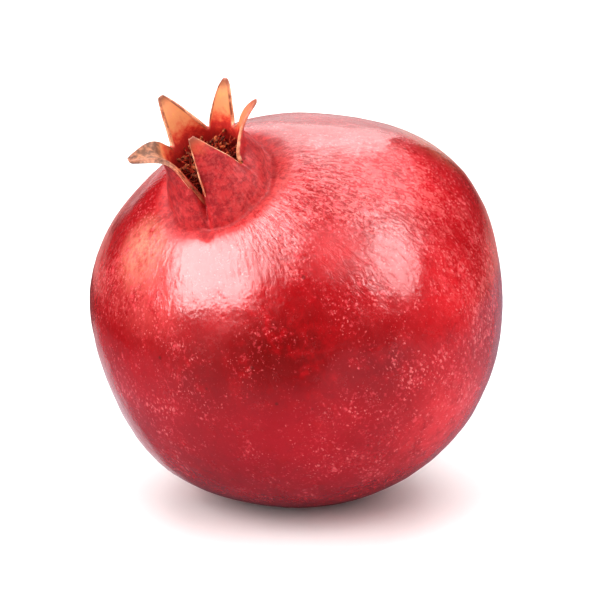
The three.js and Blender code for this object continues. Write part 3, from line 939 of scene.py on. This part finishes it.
def rind_material():
    material, tree, skin = new_material("rind_skin")
    spot, place = fruit_place(tree)
    polar, streak_place, wrinkle_place = drawn_places(tree, place)
    mottle = noise(tree, place, 5 * MM, 6, 0.7)
    fine = noise(tree, place, 1.8 * MM, 5, 0.7)
    inside = attribute(tree, "inside")
    fold = ease(tree, attribute(tree, "fold"), 0.0, 0.9)
    colour = reds(tree, spot, place, streak_place, mottle)
    colour, grit = flecks(tree, spot, place, wrinkle_place, colour)
    colour = dark_spots(tree, place, colour)
    colour = collar_red(tree, polar, mottle, fine, grit, fold, colour)
    colour = lobe_colours(tree, spot, place, fine, inside, colour)
    tree.links.new(colour, skin.inputs["Base Color"])
    rind_gloss(tree, skin, spot, polar, mottle, inside, fold)
    rind_relief(tree, skin, spot, place, wrinkle_place)
    return material


def stamen_material():
    material, tree, skin = new_material("dried_stamens")
    place = fruit_place(tree)[1]
    thread = dry_grain(tree, place, 1.5 * MM, 4, 0.7, (0.38, 0.62), THREAD_DARK, THREAD_RED)["Colour"]
    anther = dry_grain(tree, place, 1.5 * MM, 4, 0.7, (0.4, 0.66), ANTHER_DARK, ANTHER_LIGHT)["Colour"]
    colour = blend(tree, attribute(tree, "anther"), thread, anther)
    tree.links.new(colour, skin.inputs["Base Color"])
    skin.inputs["Roughness"].default_value = 0.9
    skin.inputs["Specular IOR Level"].default_value = 0.2
    add_bump(tree, skin, noise(tree, place, 0.4 * MM, 3, 0.7), 0.6, 0.1 * MM)
    return material


def stub_material():
    material, tree, skin = new_material("stalk_wood")
    place = fruit_place(tree)[1]
    fibre_place = add(tree, "ShaderNodeMapping", {"Vector": place, "Scale": (1, 1, 0.15)}).outputs[0]
    fibres = dry_grain(tree, fibre_place, 0.5 * MM, 5, 0.65, (0.35, 0.65), WOOD_DARK, WOOD_LIGHT)
    tree.links.new(fibres["Colour"], skin.inputs["Base Color"])
    skin.inputs["Roughness"].default_value = 0.85
    add_bump(tree, skin, fibres["Grain"], 0.8, 0.15 * MM)
    return material


rind.data.materials.append(rind_material())
stamens.data.materials.clear()
stamens.data.materials.append(stamen_material())
stub.data.materials.append(stub_material())

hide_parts("fruit")
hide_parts("stamens")
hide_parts("stem_stub")
for piece in (rind, stamens, stub):
    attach(piece, "root")


# The floor: white to the eye. Its painted reflection in the fruit is dimmer, darker far off and pinker behind,
# and the light that it throws back is painted dimmer on the left than on the right.
PAPER_WHITE = (1.0, 0.99, 0.99, 1)
PAPER_MIRRORED = (0.26, 0.235, 0.285, 1)
PAPER_MIRRORED_FAR = (0.02, 0.02, 0.02, 1)
PAPER_MIRRORED_BEHIND = (0.48, 0.26, 0.24, 1)
PAPER_LIT_LEFT = (0.50, 0.47, 0.50, 1)
PAPER_LIT_RIGHT = (1.0, 0.98, 0.98, 1)


def floor_material():
    material, tree, surface = new_material("pale_floor")
    spot = add(tree, "ShaderNodeTexCoord").outputs["Object"]
    parts = add(tree, "ShaderNodeSeparateXYZ", {0: spot}).outputs
    away = vector_calc(tree, "LENGTH", spot, output="Value")
    reach = calc(tree, "SUBTRACT", away, ease(tree, parts[0], 0.0, 0.12, 0, 0.25))
    mirrored = blend(tree, ease(tree, reach, 0.06, 0.20), PAPER_MIRRORED, PAPER_MIRRORED_FAR)
    mirrored = blend(tree, ease(tree, parts[1], 0.22, 0.30), mirrored, PAPER_MIRRORED_BEHIND)
    # Painted bounced light: the floor throws back less light on the left than on the right
    bounced = blend(tree, ease(tree, parts[0], -0.03, 0.04), PAPER_LIT_LEFT, PAPER_LIT_RIGHT)
    ray = add(tree, "ShaderNodeLightPath").outputs
    paper = blend(tree, ray["Is Diffuse Ray"], mirrored, bounced)
    paper = blend(tree, ray["Is Camera Ray"], paper, PAPER_WHITE)
    tree.links.new(paper, surface.inputs["Base Color"])
    surface.inputs["Roughness"].default_value = 0.6
    surface.inputs["Specular IOR Level"].default_value = 0.1
    return material


bpy.ops.mesh.primitive_plane_add(size=12)
floor = bpy.context.object
floor.name = "floor"
floor.data.materials.append(floor_material())

# The camera looks along +Y from 15 degrees above the horizon
ELEVATION = math.radians(15)
CAMERA_AWAY = 0.55
LENS_MM = 147.8
AIM = Vector((0.56 * MM, 0, 43.4 * MM))
AIM_UP = 1.34 * MM
camera_up = Vector((0, math.sin(ELEVATION), math.cos(ELEVATION)))
camera_back = Vector((0, -math.cos(ELEVATION), math.sin(ELEVATION)))
camera_place = AIM + camera_up * AIM_UP + camera_back * CAMERA_AWAY
bpy.ops.object.camera_add(location=camera_place, rotation=(math.pi / 2 - ELEVATION, 0, 0))
camera = bpy.context.object
camera.data.lens = LENS_MM
camera.data.sensor_width = 36
camera.data.clip_start = 0.02
camera.data.clip_end = 30
bpy.context.scene.camera = camera

FRUIT_MIDDLE = Vector((0, 0, 0.045))


def softbox(name, way, away, size, power, shape="RECTANGLE", roll=0):
    """A soft light in this direction from the fruit, facing it."""
    way = Vector(way).normalized()
    bpy.ops.object.light_add(type="AREA", location=way * away + FRUIT_MIDDLE)
    light = bpy.context.object
    light.name = name
    light.data.shape = shape
    light.data.size = size[0]
    light.data.size_y = size[1]
    light.data.energy = power
    light.rotation_euler = (-way).to_track_quat("-Z", "Y").to_euler()
    light.rotation_euler.rotate_axis("Z", math.radians(roll))
    light.visible_camera = False
    return light


# The panels that the skin mirrors, and the larger ones that light it
for panel in (
    softbox("window_left", (-0.71, -0.40, 0.58), 1.0, (0.92, 0.84), 24, roll=24),
    softbox("window_middle", (-0.22, -0.60, 0.77), 1.1, (0.30, 0.60), 2.6),
    softbox("window_right", (0.735, -0.33, 0.60), 1.1, (0.80, 0.70), 9, "ELLIPSE"),
    softbox("back_high", (-0.08, 0.68, 0.73), 1.2, (1.02, 0.98), 6.8),
    softbox("back_low", (-0.08, 0.96, 0.22), 1.2, (1.0, 0.50), 1.2),
    softbox("overhead", (0.40, 0.24, 0.88), 1.4, (1.9, 1.05), 9),
):
    panel.visible_diffuse = False
# A pale card on the floor behind, to the left
bpy.ops.object.light_add(
    type="AREA",
    location=(-0.066, 0.056, 0.002),
    rotation=(math.pi, 0, math.radians(37)),
)
card = bpy.context.object
card.name = "card_left"
card.data.shape = "ELLIPSE"
card.data.size = 0.05
card.data.size_y = 0.15
card.data.energy = 0.008
card.visible_camera = False
card.visible_diffuse = False
for panel in (
    softbox("fill_left", (-0.80, -0.47, 0.37), 1.3, (1.5, 1.5), 24),
    softbox("fill_right", (0.62, -0.58, 0.52), 1.4, (1.7, 1.7), 16),
    softbox("fill_back", (0.0, 0.80, 0.60), 1.4, (1.7, 1.7), 17),
    softbox("fill_top", (0.0, -0.10, 1.0), 1.5, (2.0, 2.0), 18),
):
    panel.visible_glossy = False

world = bpy.context.scene.world or bpy.data.worlds.new("studio")
bpy.context.scene.world = world
world.use_nodes = True
background = world.node_tree.nodes["Background"]
background.inputs["Color"].default_value = (1, 1, 1, 1)
background.inputs["Strength"].default_value = 0.06
bpy.context.scene.view_settings.view_transform = "Standard"
bpy.context.scene.view_settings.gamma = 0.85
bpy.context.scene.view_settings.exposure = 0.15

bpy.context.view_layer.update()
